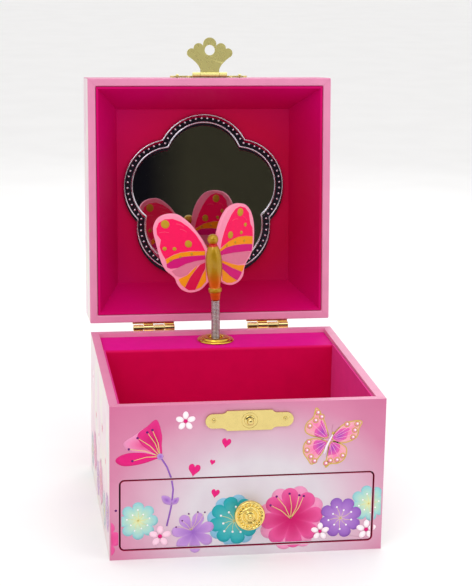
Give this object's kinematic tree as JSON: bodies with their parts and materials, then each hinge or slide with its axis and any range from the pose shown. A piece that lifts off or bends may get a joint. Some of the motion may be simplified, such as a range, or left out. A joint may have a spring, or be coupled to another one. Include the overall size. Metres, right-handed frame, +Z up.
{
  "type": "musical jewellery box",
  "caption": "Square musical jewellery box with a hinged mirrored lid, a drawer below, and a turning butterfly on a spring shaft driven by a wind-up movement.",
  "frame": {"origin": "centre of the case's underside, on the surface it stands on", "axes": "+X to the right as seen from the drawer side, +Y to the hinged back, +Z up; the drawer front faces -Y"},
  "size_m": [0.11, 0.1616, 0.1938],
  "materials": {
    "printed_paper": "satin",
    "pink_paper": "satin",
    "magenta_paper": "satin",
    "magenta_flock": "matte",
    "pale_gold": "polished",
    "olive_brass": "satin",
    "rich_gold": "polished",
    "cast_zinc": "matte",
    "steel": "satin",
    "spring_steel": "satin",
    "gunmetal_foil": "gloss",
    "mirror_glass": "polished",
    "gold_paint": "gloss",
    "wing_plastic": "gloss",
    "movement_brass": "satin"
  },
  "bodies": {
    "case": {"front_panel": "printed_paper", "left_panel": "printed_paper", "right_panel": "printed_paper", "back_panel": "printed_paper", "bottom_panel": "pink_paper", "compartment_floor": "magenta_paper", "movement_partition": "magenta_paper", "movement_deck": "magenta_paper", "lining_left": "magenta_paper", "lining_right": "magenta_paper", "lining_front": "magenta_paper", "compartment_liner": "magenta_flock", "latch_plate": "pale_gold", "latch_stud": "pale_gold", "latch_nail_left": "pale_gold", "latch_nail_right": "pale_gold", "hinge_case_leaf_left": "rich_gold", "hinge_case_leaf_right": "rich_gold", "hinge_pin_left": "rich_gold", "hinge_pin_right": "rich_gold", "spindle_bush": "rich_gold", "movement_bedplate": "cast_zinc", "tone_comb": "steel", "comb_screw_lower": "steel", "comb_screw_upper": "steel", "movement_screw_left": "steel", "movement_screw_right": "steel"},
    "lid": {"hinge_lid_leaf_left": "rich_gold", "hinge_lid_leaf_right": "rich_gold", "lid_top_panel": "printed_paper", "lid_front_rail": "printed_paper", "lid_back_rail": "printed_paper", "lid_left_rail": "printed_paper", "lid_right_rail": "printed_paper", "lid_lining": "magenta_paper", "mirror_frame": "gunmetal_foil", "mirror_glass": "mirror_glass", "hasp_plate": "olive_brass", "hasp_pin": "olive_brass", "hasp_nail_left": "olive_brass", "hasp_nail_right": "olive_brass"},
    "hasp": {"hasp_tail": "olive_brass"},
    "drawer": {"drawer_front": "printed_paper", "drawer_left_side": "pink_paper", "drawer_right_side": "pink_paper", "drawer_back": "pink_paper", "drawer_bottom": "pink_paper", "drawer_liner": "magenta_flock", "drawer_knob": "rich_gold", "knob_screw": "steel"},
    "spring": {"figure_spring": "spring_steel"},
    "figure": {"butterfly_body": "gold_paint", "butterfly_wing_left": "wing_plastic", "butterfly_wing_right": "wing_plastic"},
    "spindle": {"figure_spindle": "steel"},
    "cylinder": {"music_cylinder": "movement_brass"},
    "barrel": {"spring_barrel": "movement_brass"},
    "governor": {"governor_fan": "steel"},
    "key": {"winding_key": "pale_gold"},
    "stop": {"stop_rod": "steel"}
  },
  "joints": [
    {"name": "lid_hinge", "type": "hinge", "parent": "case", "child": "lid", "pos_m": [0, 0.0576, 0.0642], "axis": [1, 0, 0], "range_deg": [0, 95.7]},
    {"name": "hasp_hinge", "type": "hinge", "parent": "lid", "child": "hasp", "pos_m": [0, 0.07233, 0.1775], "axis": [1, 0, 0], "range_deg": [-80, 90]},
    {"name": "drawer_slide", "type": "slide", "parent": "case", "child": "drawer", "axis": [0, -1, 0], "range_m": [0, 0.068]},
    {"name": "figure_fold", "type": "hinge", "parent": "case", "child": "spring", "pos_m": [0, 0.0425, 0.0745], "axis": [1, 0, 0], "range_deg": [0, 95.7], "deforming": ["figure_spring"]},
    {"name": "figure_spin", "type": "hinge", "parent": "spring", "child": "figure", "pos_m": [-0.00049, 0.0425, 0.0853], "axis": [-0.0558, 0, 0.9984], "continuous": true},
    {"name": "cylinder_spin", "type": "hinge", "parent": "case", "child": "cylinder", "pos_m": [-0.012, 0.0425, 0.032], "axis": [0, 0, 1], "continuous": true},
    {"name": "spindle_spin", "type": "hinge", "parent": "case", "child": "spindle", "pos_m": [0, 0.0425, 0.0538], "axis": [0, 0, 1], "continuous": true},
    {"name": "barrel_spin", "type": "hinge", "parent": "case", "child": "barrel", "pos_m": [-0.012, 0.0473, 0.018], "axis": [0, 1, 0], "continuous": true},
    {"name": "governor_spin", "type": "hinge", "parent": "case", "child": "governor", "pos_m": [0.009, 0.0425, 0.0538], "axis": [0, 0, 1], "continuous": true},
    {"name": "key_turn", "type": "hinge", "parent": "case", "child": "key", "pos_m": [-0.012, 0.055, 0.018], "axis": [0, 1, 0], "continuous": true},
    {"name": "stop_slide", "type": "slide", "parent": "case", "child": "stop", "axis": [0, 0, -1], "range_m": [0, 0.002]}
  ],
  "couplings": [
    {"joint": "figure_fold", "follows": "lid_hinge", "ratio": 1},
    {"joint": "stop_slide", "follows": "lid_hinge", "m_per_rad": 0.001195},
    {"joint": "spindle_spin", "follows": "cylinder_spin", "ratio": -1},
    {"joint": "figure_spin", "follows": "cylinder_spin", "ratio": -1},
    {"joint": "barrel_spin", "follows": "cylinder_spin", "ratio": -0.33333},
    {"joint": "governor_spin", "follows": "cylinder_spin", "ratio": 2}
  ]
}
